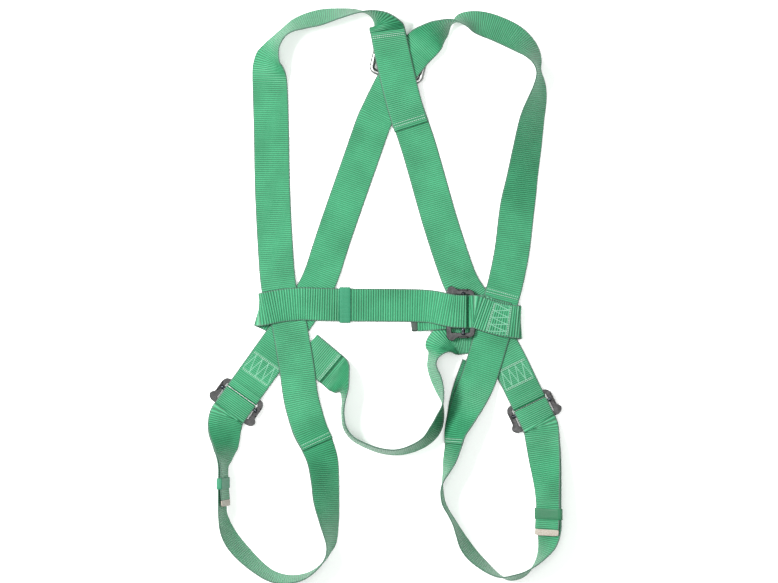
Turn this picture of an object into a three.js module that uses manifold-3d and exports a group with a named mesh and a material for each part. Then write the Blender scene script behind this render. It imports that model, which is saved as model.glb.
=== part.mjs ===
// A basic full-body fall-arrest harness with one dorsal ring, laid out flat with its front up.
// Millimetres, +Z up, +Y towards the shoulders, +X towards the viewer's right.
// It rests on the plane z = 0, and the origin is at the bottom centre of its box.

import * as THREE from 'three';
import { mergeVertices } from 'three/addons/utils/BufferGeometryUtils.js';
import Module from 'manifold-3d';

// ---- driving dimensions -------------------------------------------------------------------

const webWidth = 45;            // load-bearing webbing
const narrowWidth = 42;         // chest webbing
const webThickness = 1.8;
const layerPitch = 2.3;         // from one layer of webbing to the layer stitched on it
const floorGap = 0.4;           // lowest webbing above the surface
const level = (n) => floorGap + n * layerPitch;

const buckleWidth = 70;
const buckleLength = 36;
const buckleWindow = 48.6;       // clear width between the side rails
const crossBar = 6;             // width of the frame's end bars
const frameThickness = 2.5;
const frameLift = 3.3;          // underside of a thigh buckle's frame
const railWall = 2;             // upturned edge of each side rail
const railHeight = 6;
const earFlare = 4;             // how far the free corners stand out
const slideBarLength = 55;
const slideBarWidth = 5;
const slideBarThickness = 3.4;
const slideBarPlace = 3.5;      // from the buckle's centre towards its sewn end
const clearance = 0.3;
const foldRadius = 3.2;         // middle of webbing folded round a bar

const keeperLength = 14;
const keeperWall = 1;
const keeperLift = 2.6;         // lowest edge of a leaning strap where a keeper goes round it
const keeperPlay = 1.8;         // clear width beyond the webbing

const ringWidth = 71;
const ringHeight = 60;
const ringRod = 7;
const ringShoulder = 24;        // height at which the bow starts
const ringTilt = 2.6;           // degrees, because its bar rests on the webbing

const tipLength = 8;
const threadThickness = 0.5;

const originShift = new THREE.Vector3(2.37, 0.26, 0.06);

// ---- materials ----------------------------------------------------------------------------

const finish = (color, roughness, metalness = 0) =>
  new THREE.MeshStandardMaterial({ color, roughness, metalness });

const greenWebbing = 0x4bbf8a;
const greenElastic = 0x3aa472;
const paleThread = 0xbfe6cf;
const blackSteel = 0x17181a;
const zincSteel = 0xb9bcc0;
const darkTip = 0x14301f;
const paleTip = 0xd9d5c8;

// ---- webbing ------------------------------------------------------------------------------

// A station is [x, y, z, heading, lean]: the middle of the webbing in plan, the height of its
// lowest edge, the heading of its width in plan, and how far the width leans up from flat.
class WebbingRoute extends THREE.Curve {
  constructor(stations, width, thickness) {
    super();
    this.stations = stations;
    this.width = width;
    this.thickness = thickness;
  }

  // One value of the station list on a uniform Catmull-Rom spline.
  blended(index, t) {
    const last = this.stations.length - 1;
    const place = Math.min(t * last, last - 1e-9);
    const i = Math.floor(place);
    const u = place - i;
    const at = (k) => this.stations[k][index];
    const b = at(i);
    const c = at(i + 1);
    const a = i > 0 ? at(i - 1) : 2 * b - c;
    const d = i + 1 < last ? at(i + 2) : 2 * c - b;
    return 0.5 * (2 * b + (c - a) * u + (2 * a - 5 * b + 4 * c - d) * u * u
      + (3 * b - a - 3 * c + d) * u * u * u);
  }

  across(t) {
    const heading = THREE.MathUtils.degToRad(this.blended(3, t));
    const lean = THREE.MathUtils.degToRad(this.blended(4, t));
    return new THREE.Vector3(
      Math.cos(heading) * Math.cos(lean), Math.sin(heading) * Math.cos(lean), Math.sin(lean));
  }

  getPoint(t) {
    const rise = Math.abs(this.across(t).z);
    const flat = Math.sqrt(1 - rise * rise);
    const z = this.blended(2, t) + rise * this.width / 2 + flat * this.thickness / 2;
    return new THREE.Vector3(this.blended(0, t), this.blended(1, t), z);
  }

  getSpacedPoints(divisions) {
    return this.getPoints(divisions);
  }

  computeFrenetFrames(segments) {
    const tangents = [];
    const normals = [];
    const binormals = [];
    for (let i = 0; i <= segments; i++) {
      const t = i / segments;
      const before = this.getPoint(Math.max(t - 1e-4, 0));
      const after = this.getPoint(Math.min(t + 1e-4, 1));
      const tangent = after.sub(before).normalize();
      const normal = this.across(t);
      normal.addScaledVector(tangent, -normal.dot(tangent)).normalize();
      tangents.push(tangent);
      normals.push(normal);
      binormals.push(new THREE.Vector3().crossVectors(tangent, normal));
    }
    return { tangents, normals, binormals };
  }
}

function rectangle(width, height) {
  const shape = new THREE.Shape();
  shape.moveTo(-width / 2, -height / 2);
  shape.lineTo(width / 2, -height / 2);
  shape.lineTo(width / 2, height / 2);
  shape.lineTo(-width / 2, height / 2);
  shape.closePath();
  return shape;
}

function webbing(stations, width, thickness = webThickness, stepsPerSpan = 3) {
  const route = new WebbingRoute(stations, width, thickness);
  return new THREE.ExtrudeGeometry(rectangle(width, thickness), {
    steps: (stations.length - 1) * stepsPerSpan,
    extrudePath: route,
  });
}

// The same stations moved square to the webbing's face, towards the face that is seen.
function beside(stations, gap) {
  return stations.map(([x, y, z, heading, lean]) => {
    const h = THREE.MathUtils.degToRad(heading);
    const l = THREE.MathUtils.degToRad(lean);
    const up = -Math.sign(Math.cos(l)) || 1;
    return [
      x + up * gap * Math.cos(h) * Math.sin(l),
      y + up * gap * Math.sin(h) * Math.sin(l),
      z + gap * Math.abs(Math.cos(l)),
      heading,
      lean,
    ];
  });
}

// ---- buckles: where they lie --------------------------------------------------------------

// heading points from the sewn end to the free end; lift is the underside of the frame; aside is
// how far the frame lies to the left of the webbing's middle.
const buckles = {
  thigh_buckle_left: { x: -189.6, y: -134.6, heading: -125.5, lift: frameLift, aside: 0 },
  thigh_buckle_right: { x: 185, y: -146.5, heading: -64, lift: frameLift, aside: 0 },
  chest_buckle: { x: 93.3, y: -21, heading: 180, lift: 10.6, aside: 2.5 },
};

// A station on a buckle's centre line: how far from its centre and how high. side is 1 where the
// width points to the left of the buckle's heading, or -1; lean is 0, or 180 for face down.
function onBuckle(name, along, z, side, lean = 180) {
  const { x, y, heading } = buckles[name];
  const h = THREE.MathUtils.degToRad(heading);
  const widthHeading = heading + (lean === 0 ? 90 : -90) * side;
  return [x + along * Math.cos(h), y + along * Math.sin(h), z, widthHeading, lean];
}

// Webbing folded round a bar: a half circle about (along, middle) that bulges by outward.
function foldOnBuckle(name, along, middle, outward, fromTop, side, lean) {
  const turns = fromTop ? [90, 45, 0, -45, -90] : [-90, -45, 0, 45, 90];
  return turns.map((turn) => {
    const t = THREE.MathUtils.degToRad(turn);
    return onBuckle(
      name,
      along + outward * foldRadius * Math.cos(t),
      middle + foldRadius * Math.sin(t) - webThickness / 2,
      side,
      lean,
    );
  });
}

// Headings and leans by the shortest way round from each station to the next.
function unwound(stations) {
  const result = [stations[0]];
  for (const station of stations.slice(1)) {
    const previous = result.at(-1);
    const [x, y, z, heading, lean] = station;
    const near = (value, from) => value - 360 * Math.round((value - from) / 360);
    result.push([x, y, z, near(heading, previous[3]), near(lean, previous[4])]);
  }
  return result;
}

// The sewn end of a strap: over the frame's end bar, round it and back underneath.
function sewnEnd(name, topStart, underEnd, side, lean = 180) {
  const middle = buckles[name].lift + frameThickness / 2;
  const over = middle + foldRadius - webThickness / 2;
  const under = middle - foldRadius - webThickness / 2;
  const barEnd = -buckleLength / 2 + crossBar;
  return [
    onBuckle(name, topStart, under + layerPitch, side, lean),
    onBuckle(name, -buckleLength / 2 - 12, under + layerPitch + 0.5, side, lean),
    onBuckle(name, -buckleLength / 2 - 1, over, side, lean),
    ...foldOnBuckle(name, barEnd - 1.2, middle, 1, true, side, lean),
    onBuckle(name, -buckleLength / 2 - 2, under, side, lean),
    onBuckle(name, underEnd, under, side, lean),
  ];
}

// The adjustable end: under the free bar, up through the window, over the sliding bar and back.
function adjustedEnd(name) {
  const lift = buckles[name].lift;
  const barMiddle = lift + frameThickness + clearance + slideBarThickness / 2;
  const overBar = barMiddle + foldRadius - webThickness / 2;
  const free = buckleLength / 2;
  return [
    onBuckle(name, free + 3, floorGap + 0.9, 1),
    onBuckle(name, free - crossBar, floorGap + 0.2, 1),
    onBuckle(name, free - crossBar - 7, floorGap + 0.9, 1),
    ...foldOnBuckle(name, -slideBarPlace - 1, barMiddle, -1, false, 1),
    onBuckle(name, 5, overBar, 1),
    onBuckle(name, free - 2, lift + frameThickness + 1.5, 1),
    onBuckle(name, free + 5, floorGap + layerPitch + 3.6, 1),
  ];
}

// ---- straps -------------------------------------------------------------------------------

const leftHip = 'thigh_buckle_left';
const rightHip = 'thigh_buckle_right';

// Left thigh seam, left front, left shoulder, ring, right back, right hip.
const mainLeft = [
  [-88, -189.3, level(1.1), 14, -22],
  [-97.2, -171.3, level(1.1), 14, -13],
  [-103.7, -152, level(1.1), 12, -5],
  [-108.6, -133.3, level(1.6), 11, 0],
  [-112, -112, level(2), 6, 0],
  [-114.3, -94, level(2), 5, 0],
  [-119.4, -63.5, level(2), 8, 0],
  [-124.5, -36, level(2), 11, 0],
  [-132.1, -10.2, level(2), 14, 0],
  [-137.8, 13, level(1.8), 8, 0],
  [-141.6, 57, level(0.1), 3, 0],
  [-145.4, 133.3, level(0), 2, 0],
  [-146.9, 209.6, level(0), 1, 0],
  [-148.6, 266.7, level(0), 0, 5],
  [-150, 292, level(0), -3, 32],
  [-147.5, 307, level(0), -20, 54],
  [-140, 322, level(0), -36, 70],
  [-128, 334.5, level(0), -52, 74],
  [-110.5, 344, level(0), -68, 65],
  [-85.1, 351.2, level(0), -77, 61],
  [-59.7, 356.2, level(0), -82, 71],
  [-40.6, 358.4, level(0.2), -92, 80],
  [-25.4, 356.8, level(0.8), -105, 91],
  [-12.5, 351.5, level(1.8), -120, 110],
  [-3.2, 343.8, level(3), -140, 134],
  [1, 333.8, 8.8, -158, 167],
  [3.6, 321, 8.7, -165, 180],
  [6, 310.5, 9.3, -166, 180],
  [7.8, 303, 9.1, -166, 180],
  [9.2, 296.5, 4.4, -166, 180],
  [10.7, 290, 0.9, -166, 180],
  [12.2, 283.5, level(0), -166, 180],
  [20.3, 247.7, level(0), -165, 180],
  [41.3, 184.2, level(0), -164, 180],
  [66.7, 95.2, level(0), -163, 180],
  [87, 33, level(0.6), -162, 180],
  [97, 10, 2.6, -156, 180],
  [111, -11, 2.6, -152, 180],
  [126, -34, 2.6, -153, 180],
  ...sewnEnd(rightHip, -75, -56, 1),
];

// Right thigh seam, right front, right shoulder, ring, left back, left hip.
const mainRight = [
  [83.8, -188, 6.9, 175, -62],
  [87.6, -171.4, 7, 162, -52],
  [96.5, -151.1, 7.4, 158, -38],
  [105.4, -130.8, 6.4, 157, -20],
  [115.6, -108, 5.6, 158, -5],
  [123.2, -85.1, level(2), 162, 0],
  [129.5, -63.5, level(2), 164, 0],
  [135.9, -42, level(2), 165, 0],
  [141.4, -20, level(2), 166, 0],
  [146, -1, level(2), 166, 0],
  [151, 18, level(1.6), 168, 0],
  [158.8, 57.1, level(0.2), 172, 0],
  [164.8, 108, level(0), 174, 6],
  [170.8, 146.1, level(0), 172, 26],
  [177.2, 184.2, level(0), 171, 35],
  [183.5, 222.2, level(0), 172, 45],
  [189.9, 247.7, level(0), 172, 57],
  [193, 266.7, level(0), 176, 70],
  [191.8, 284.5, level(0), 186, 81],
  [186.5, 301, level(0), 202, 67],
  [175.3, 315, level(0), 225, 52],
  [158.8, 327.7, level(0), 240, 42],
  [137.2, 338, level(0), 247, 41],
  [118.1, 343.9, level(0), 252, 45],
  [99.1, 346.4, level(0.3), 258, 62],
  [82.5, 344.4, level(1), 270, 96],
  [69.5, 337.4, level(2.3), 288, 121],
  [56.5, 328, level(3.8), 300, 143],
  [44.5, 317, 11.8, 308, 171],
  [37.5, 310.3, 12, 312, 180],
  [30, 301.5, 11.8, 317, 180],
  [16.5, 284, 11.2, 324, 180],
  [8, 269, 11.2, 329, 180],
  [1.5, 257, 10.2, 331, 180],
  [-5, 244, 6, 333, 180],
  [-11, 231.5, 3, 335, 180],
  [-18, 216, 2.8, 336, 180],
  [-32, 176, level(0.2), 339, 180],
  [-60.3, 95.2, level(0), 341, 180],
  [-73, 57.1, level(0.3), 341, 180],
  [-81, 31.8, level(0.9), 340, 180],
  [-89.5, 11.4, level(1), 334, 180],
  [-100.5, -8, level(1), 327, 180],
  [-112.5, -26, level(1), 324, 180],
  ...sewnEnd(leftHip, -98, -58, -1),
];

// The piece that covers the ring's seat, sewn to the left main strap at both ends.
const dorsalSleeve = [
  [0.8, 334.6, 14.6, 20, 18],
  [3.4, 321, 13.9, 16, 7],
  [7, 304, 14.9, 14, 0],
  [13.6, 275, 14.4, 14, 0],
  [18, 257, 14, 14, 0],
  [22, 242, 11, 16, 0],
  [26.4, 227.5, 5.8, 18, 0],
  [30.8, 213.5, level(1.1), 18, 0],
];

// From its sewn end under the left hip, round the left front strap, across to the chest buckle,
// over the sliding bar and back.
const chestStrap = [
  [-111, -42, level(0), 67, 0],
  [-136, -31, level(0), 67, 0],
  [-154, -22.5, level(0), 69, 0],
  [-160.4, -20, 1.8, 74, 0],
  [-162.6, -19, 4.6, 78, 0],
  [-160.4, -18.5, 7.6, 82, 0],
  [-153, -17, 9.3, 88, 0],
  [-135, -13.5, 7.7, 90, 0],
  [-110, -11.3, level(3), 90, 0],
  [-84, -12, level(2.2), 90, 0],
  [-68, -12.4, 5, 90, 0],
  [-57, -12.6, 3.2, 90, 0],
  [-45, -12.7, 3, 90, 0],
  [-10, -12.9, 3, 90, 0],
  [30, -13.3, 3.2, 90, 0],
  [48, -14, 6.6, 90, 0],
  [60, -15.4, 11.4, 90, 0],
  [72, -18, 15.6, 90, 0],
  [84, -20.2, 17.8, 90, 0],
  ...foldOnBuckle('chest_buckle', -slideBarPlace - 1, 15.1, -1, true, -1, 0),
  [91, -21.4, 9, 92, 0],
  [81, -22, 8.2, 94, 0],
  [72, -22.8, 8.7, 95, 0],
  [64, -23.5, 9.3, 95, 0],
  [55, -24.3, 7.2, 94, 0],
  [46, -25, 2.4, 93, 0],
  [38, -25.4, 1.5, 92, 0],
];

// From its end under the right front strap, round that strap's edge, back over it to the chest
// buckle, round the buckle's end bar and under itself.
const chestLoop = [
  [133, -44, level(0), 104, 0],
  [148, -39.5, level(0), 103, 0],
  [161, -36.6, level(0), 100, 0],
  [167.4, -35.2, 2.6, 97, 0],
  [169, -34.8, 6.4, 93, 0],
  [167.4, -34.3, 10.2, 89, 0],
  [159, -33.4, 11.4, 86, 0],
  [146, -31.4, 10.2, 83, 0],
  [132, -27.8, 11, 84, 0],
  [121, -24, 12.6, 86, 0],
  ...sewnEnd('chest_buckle', -30, -28, -1, 0).slice(2),
  [133, -25.5, level(3.1), 85, 0],
  [152, -30.5, level(3.1), 83, 0],
];

// From the left anchor, round under the seat, to its end under the right front strap.
const seatStrap = [
  [-103, -67, level(0), 50, 0],
  [-82.5, -84.2, level(0), 50, 0],
  [-69, -95.5, level(0), 50, 0],
  [-64.5, -99.6, level(0), 48, 9],
  [-59.2, -105.6, level(0), 40, 38],
  [-54.4, -118.1, level(0), 14, 72],
  [-54.8, -133, level(0), 6, 84],
  [-56, -148.6, level(0), 10, 86],
  [-53.3, -167.6, level(0), 36, 84],
  [-43.2, -181.5, level(0), 64, 83],
  [-26.7, -190.5, level(0), 71, 82],
  [-8.9, -196.8, level(0), 78, 81],
  [10.2, -199, level(0), 94, 80],
  [29.2, -195.2, level(0), 110, 77],
  [48.3, -185.4, level(0), 128, 74],
  [61, -170.2, level(0), 147, 70],
  [67.4, -152.4, level(0), 168, 78],
  [70.2, -137.2, level(0), 184, 90],
  [67, -120.7, level(0), 198, 102],
  [62, -105.4, level(0), 200, 107],
  [57, -91, level(0), 186, 104],
  [57.6, -81, level(0), 170, 104],
  [62.2, -72, level(0), 152, 114],
  [69.9, -64, level(0), 118, 143],
  [79.5, -56.5, level(0), 102, 166],
  [91, -53.4, level(0), 93, 176],
  [102, -52.2, level(0), 90, 180],
  [114, -52.2, level(0), 90, 180],
];

const seatAnchor = [
  [-103, -67, level(1.15), 50, 0],
  [-70.5, -94.2, level(1.15), 50, 0],
];

// From the seam with the left front strap, round the thigh, to the left buckle and back.
const thighLeftSpan = [
  [-104, -152, level(0.1), 12, -5],
  [-97.8, -171.4, level(0.1), 14, -13],
  [-89, -189.5, level(0.1), 14, -22],
  [-81.9, -209.6, level(0), 10, -30],
  [-78.7, -235, level(0), 5, -38],
  [-77, -260.4, level(0), 3, -44],
  [-73.7, -285.8, level(0), 4, -57],
  [-71.1, -311.1, level(0), -8, -72],
  [-74.3, -326.4, level(0), -24, -84],
  [-80.5, -337.8, level(0), -42, -88],
  [-91.4, -348.6, level(0), -57, -91],
  [-104.1, -356, level(0), -70, -95],
  [-119.4, -359.6, level(0), -88, -99],
  [-135.9, -358.8, level(0), -104, -103],
  [-151.1, -353.1, level(0), -118, -106],
  [-167.6, -341, level(0), -133, -110],
  [-182.9, -326.4, level(0), -137, -114],
  [-195.6, -311.1, level(0), -145, -114],
  [-204, -295, level(0), -158, -109],
  [-207.8, -279.4, level(0.6), -177, -102],
  [-208.4, -259, keeperLift, -180, -101],
  [-208.4, -238, keeperLift, -180, -101],
  [-208.4, -217, keeperLift, -180, -101],
  [-207.8, -202, level(0.5), -184, -117],
  [-206.8, -189, level(0.9), -190, -137],
  [-206.9, -177, level(1.3), -199, -157],
  [-206, -165, level(1.5), -210, -173],
];

// From the seam with the right front strap, round the thigh, to the right buckle and back.
const thighRightSpan = [
  [117, -89.5, level(0), -32, 0],
  [110.6, -106.2, level(0), -23, 0],
  [102.5, -129.5, level(0), -23, 18],
  [95, -150.5, level(0), -22, 38],
  [87.6, -171.3, level(0), -18, 52],
  [84.7, -188.1, level(0), -5, 62],
  [79.4, -209.6, level(0), -14, 70],
  [75.6, -222.2, level(0), -18, 80],
  [70.9, -235, level(0), -12, 89],
  [69.4, -247.7, level(0), 4, 94],
  [71.6, -262.9, level(0), 20, 95],
  [78.2, -276, level(0), 28, 94],
  [85.1, -288, level(0), 28, 96],
  [91, -301, level(0), 26, 101],
  [98.5, -316.2, level(0), 34, 108],
  [109.2, -330.2, level(0), 44, 108],
  [125.7, -344.9, level(0), 52, 102],
  [141.2, -355, level(0), 68, 92],
  [156.2, -358, level(0), 92, 80],
  [172.7, -353.6, level(0), 118, 80],
  [186.7, -342, level(0), 138, 90],
  [195.6, -330.2, level(0), 150, 102],
  [203, -315, level(0.5), 166, 119],
  [205.4, -296.5, keeperLift + 0.6, 180, 130],
  [205.4, -276, keeperLift + 0.6, 180, 130],
  [205.4, -260, keeperLift + 0.6, 180, 130],
  [204.6, -243, level(0.8), 184, 134],
  [202.6, -222.2, level(0.6), 186, 143],
  [200.4, -205, level(0.7), 190, 153],
  [198.6, -191, level(1), 196, 161],
  [197, -179, level(0.9), 201, 172],
];

// The whole strap, with the tail that lies on its last few stations.
function adjustedStrap(span, name, tailStations) {
  const tail = beside(span.slice(-tailStations), layerPitch + 0.2).reverse();
  const end = beside([tail.pop()], 1.6);
  return unwound([...span, ...adjustedEnd(name), ...tail, ...end]);
}


// ---- building blocks ----------------------------------------------------------------------

const model = new THREE.Group();
model.position.copy(originShift);

function add(name, geometry, material, parent = model) {
  const mesh = new THREE.Mesh(geometry, material);
  mesh.name = name;
  parent.add(mesh);
  return mesh;
}

const wasm = await Module();
wasm.setup();

function toSolid(geometry) {
  const bare = geometry.clone();
  bare.deleteAttribute('normal');
  bare.deleteAttribute('uv');
  const merged = mergeVertices(bare, 1e-4);
  return new wasm.Manifold(new wasm.Mesh({
    numProp: 3,
    vertProperties: new Float32Array(merged.attributes.position.array),
    triVerts: new Uint32Array(merged.index.array),
  }));
}

function toGeometry(solid) {
  const mesh = solid.getMesh();
  const geometry = new THREE.BufferGeometry();
  geometry.setAttribute('position', new THREE.BufferAttribute(mesh.vertProperties, 3));
  geometry.setIndex(new THREE.BufferAttribute(mesh.triVerts, 1));
  geometry.computeVertexNormals();
  return geometry;
}

const joined = (pieces) => toGeometry(pieces.map(toSolid).reduce((a, b) => a.add(b)));

// ---- the dorsal ring ----------------------------------------------------------------------

// A D with its bar along X at y = 0 and its bow towards +Y; inset moves the line inwards.
function ringOutline(path, inset) {
  const half = ringWidth / 2 - inset;
  const corner = ringRod - inset * 0.6;
  path.moveTo(-half + corner, inset);
  path.lineTo(half - corner, inset);
  path.quadraticCurveTo(half, inset, half, inset + corner);
  path.lineTo(half, ringShoulder);
  path.absellipse(0, ringShoulder, half, ringHeight - ringShoulder - inset, 0, Math.PI, false, 0);
  path.lineTo(-half, inset + corner);
  path.quadraticCurveTo(-half, inset, -half + corner, inset);
}

function ringGeometry() {
  const bevel = 1.8;
  const shape = new THREE.Shape();
  ringOutline(shape, bevel);
  const eye = new THREE.Path();
  ringOutline(eye, ringRod - bevel);
  shape.holes.push(eye);
  const geometry = new THREE.ExtrudeGeometry(shape, {
    depth: ringRod - 2 * bevel,
    bevelEnabled: true,
    bevelThickness: bevel,
    bevelSize: bevel,
    bevelSegments: 1,
    curveSegments: 14,
  });
  return geometry.translate(0, -ringRod / 2, bevel);
}

const ring = add('dorsal_d_ring', ringGeometry(), finish(zincSteel, 0.3, 1));
ring.rotation.set(THREE.MathUtils.degToRad(-ringTilt), 0, THREE.MathUtils.degToRad(-13.3), 'ZXY');
ring.position.set(10.7, 276.8, 2.95);

// ---- webbing pieces -----------------------------------------------------------------------

const green = finish(greenWebbing, 0.75);
add('main_strap_left', webbing(unwound(mainLeft), webWidth), green.clone());
add('main_strap_right', webbing(unwound(mainRight), webWidth), green.clone());
add('dorsal_sleeve', webbing(dorsalSleeve, webWidth), green.clone());
add('chest_strap', webbing(chestStrap, narrowWidth), green.clone());
add('chest_loop', webbing(chestLoop, narrowWidth), green.clone());
add('seat_strap', webbing(seatStrap, webWidth), green.clone());
add('seat_anchor', webbing(seatAnchor, webWidth), green.clone());

const thighLeft = adjustedStrap(thighLeftSpan, leftHip, 7);
const thighRight = adjustedStrap(thighRightSpan, rightHip, 8);
add('thigh_strap_left', webbing(thighLeft, webWidth), green.clone());
add('thigh_strap_right', webbing(thighRight, webWidth), green.clone());

// The bound tip of a tail: a short piece that carries on past the end of the route.
function tailTip(stations, width) {
  const route = new WebbingRoute(stations, width, webThickness);
  const { tangents, normals, binormals } = route.computeFrenetFrames(1);
  const onward = route.getPoint(1).addScaledVector(tangents[1], clearance + tipLength / 2);
  const turn = new THREE.Matrix4().makeBasis(normals[1], binormals[1], tangents[1]);
  return new THREE.BoxGeometry(width, webThickness, tipLength)
    .applyMatrix4(turn.setPosition(onward));
}

add('chest_tail_tip', tailTip(chestStrap, narrowWidth), finish(darkTip, 0.6));
add('thigh_tail_tip_left', tailTip(thighLeft, webWidth), finish(paleTip, 0.6));
add('thigh_tail_tip_right', tailTip(thighRight, webWidth), finish(paleTip, 0.6));

// ---- buckle frames and sliding bars -------------------------------------------------------

// The frame's outline in plan: heading along +X, the free end's corners flared out.
function frameShape() {
  const half = buckleLength / 2;
  const side = buckleWidth / 2 - earFlare;
  const corner = 7;
  const quarter = [
    [-half, side - corner],
    [-half + 2, side - 2.5],
    [-half + corner, side],
    [half - 12, side],
    [half - 9, side + earFlare - 0.6],
    [half - 6, side + earFlare],
    [half - 2.5, side + earFlare - 2],
    [half, side - 2],
  ];
  const mirrored = quarter.map(([x, y]) => [x, -y]).reverse();
  return new THREE.Shape([...quarter, ...mirrored].map(([x, y]) => new THREE.Vector2(x, y)));
}

function frameGeometry() {
  const half = buckleLength / 2;
  const shape = frameShape();
  const window = new THREE.Path();
  const reach = half - crossBar;
  window.moveTo(-reach, -buckleWindow / 2);
  window.lineTo(reach, -buckleWindow / 2);
  window.lineTo(reach, buckleWindow / 2);
  window.lineTo(-reach, buckleWindow / 2);
  window.closePath();
  shape.holes.push(window);
  const flat = { depth: frameThickness, bevelEnabled: false, curveSegments: 4 };
  const plate = new THREE.ExtrudeGeometry(shape, flat);
  const railLength = buckleLength - 22;
  const rails = [-1, 1].map((sign) => new THREE.BoxGeometry(railLength, railWall, railHeight)
    .translate(-3, sign * (buckleWidth / 2 - earFlare - railWall / 2 - 0.02), railHeight / 2));
  return joined([plate, ...rails]);
}

function slideBarGeometry() {
  const grip = new THREE.CylinderGeometry(
    slideBarWidth / 2, slideBarWidth / 2, slideBarLength, 12);
  const flatten = slideBarThickness / slideBarWidth;
  return grip.scale(1, 1, flatten).translate(0, 0, slideBarThickness / 2);
}

for (const [name, { x, y, heading, lift, aside }] of Object.entries(buckles)) {
  const buckle = new THREE.Group();
  buckle.position.set(x, y, lift);
  buckle.rotation.z = THREE.MathUtils.degToRad(heading);
  buckle.translateY(aside);
  model.add(buckle);
  add(`${name}_frame`, frameGeometry(), finish(blackSteel, 0.35, 0.6), buckle);
  const bar = add(`${name}_bar`, slideBarGeometry(), finish(blackSteel, 0.4, 0.6), buckle);
  bar.position.set(-slideBarPlace, 0, frameThickness + clearance);
}

// ---- keepers ------------------------------------------------------------------------------

// An elastic band round the webbing: opening is the clear height that it leaves.
function keeperGeometry(width, opening) {
  const shape = rectangle(width + 2 * keeperWall, opening + 2 * keeperWall);
  shape.holes.push(rectangle(width, opening));
  const flat = { depth: keeperLength, bevelEnabled: false };
  return new THREE.ExtrudeGeometry(shape, flat).translate(0, 0, -keeperLength / 2);
}

// heading and lean are the width's; the band slides along the strap's direction in plan.
function addKeeper(name, place, heading, lean, width, opening) {
  const h = THREE.MathUtils.degToRad(heading);
  const l = THREE.MathUtils.degToRad(lean);
  const across = new THREE.Vector3(
    Math.cos(h) * Math.cos(l), Math.sin(h) * Math.cos(l), Math.sin(l));
  const along = new THREE.Vector3(-Math.sin(h), Math.cos(h), 0);
  const through = new THREE.Vector3().crossVectors(along, across);
  const keeper = add(name, keeperGeometry(width, opening), finish(greenElastic, 0.9));
  keeper.quaternion.setFromRotationMatrix(
    new THREE.Matrix4().makeBasis(across, through, along));
  keeper.position.copy(place);
}

const twoLayers = 2 * webThickness + 1.9;
const chestPlace = new THREE.Vector3(-53.4, -12.7, 4.2);
addKeeper('chest_keeper', chestPlace, 90, 0, narrowWidth + keeperPlay, 3.8);
const leftPlace = new THREE.Vector3(-207.2, -238, 25.1);
addKeeper('thigh_keeper_left', leftPlace, -180, -101, webWidth + keeperPlay, twoLayers);
const rightPlace = new THREE.Vector3(204.4, -277, 21.8);
addKeeper('thigh_keeper_right', rightPlace, 180, 130, webWidth + keeperPlay, twoLayers);

// ---- seams: the raised thread of each stitched place ---------------------------------------

// A thin plate on a strap's upper face between two places counted in stations along its route.
function addSeam(name, stations, start, end, width) {
  const route = new WebbingRoute(stations, webWidth, webThickness);
  const last = stations.length - 1;
  const count = 3;
  const patch = [];
  for (let i = 0; i <= count; i++) {
    const t = (start + (end - start) * i / count) / last;
    patch.push([0, 1, 2, 3, 4].map((index) => route.blended(index, t)));
  }
  const slip = (webWidth - width) / 2;
  const raised = beside(patch, webThickness + 0.5).map(([x, y, z, heading, lean]) => [
    x, y, z + slip * Math.abs(Math.sin(THREE.MathUtils.degToRad(lean))), heading, lean,
  ]);
  add(name, webbing(raised, width, threadThickness, 1), finish(paleThread, 0.8));
}

const boxWidth = 36;
const rowWidth = 41;
addSeam('seam_dorsal_top', dorsalSleeve, 0.3, 0.55, rowWidth);
addSeam('seam_dorsal_bottom', dorsalSleeve, 6.35, 6.6, rowWidth);
addSeam('seam_front_right', mainRight, 9, 9.25, rowWidth);
addSeam('seam_thigh_left', mainLeft, 0.15, 0.35, rowWidth);
addSeam('seam_thigh_right', mainRight, 0.15, 0.35, rowWidth);
addSeam('seam_seat', seatAnchor, 0.88, 0.93, rowWidth);
addSeam('seam_chest_loop', chestLoop, 6.3, 8.1, boxWidth);
for (const [name, buckle, from, to] of [
  ['seam_hip_left', leftHip, -63, -37],
  ['seam_hip_right', rightHip, -62, -37],
]) {
  const top = frameLift + frameThickness / 2 - foldRadius - webThickness / 2 + layerPitch;
  addSeam(name, [onBuckle(buckle, from, top, 1), onBuckle(buckle, to, top, 1)], 0, 1, boxWidth);
}

export default model;
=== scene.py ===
"""A basic full-body fall-arrest harness laid flat with its front up: webbing, stitching and hardware.

Lengths in the station lists are millimetres in the same frame as the CAD; meshes are in metres.
"""
import math

import bmesh
import bpy
from mathutils import Matrix, Vector


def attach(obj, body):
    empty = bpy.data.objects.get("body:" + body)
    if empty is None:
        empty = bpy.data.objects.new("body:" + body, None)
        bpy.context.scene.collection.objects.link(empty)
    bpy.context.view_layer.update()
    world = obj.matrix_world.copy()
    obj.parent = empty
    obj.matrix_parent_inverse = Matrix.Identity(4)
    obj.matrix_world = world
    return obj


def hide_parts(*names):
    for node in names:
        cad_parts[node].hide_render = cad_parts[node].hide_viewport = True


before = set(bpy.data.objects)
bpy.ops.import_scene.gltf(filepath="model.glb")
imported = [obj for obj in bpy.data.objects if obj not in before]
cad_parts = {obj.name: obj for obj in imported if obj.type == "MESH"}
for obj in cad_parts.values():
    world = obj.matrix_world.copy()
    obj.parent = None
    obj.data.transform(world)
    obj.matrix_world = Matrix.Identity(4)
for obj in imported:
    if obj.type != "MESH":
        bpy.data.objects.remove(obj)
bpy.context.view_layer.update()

# ---- dimensions shared with the CAD, in millimetres ---------------------------------------------

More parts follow.
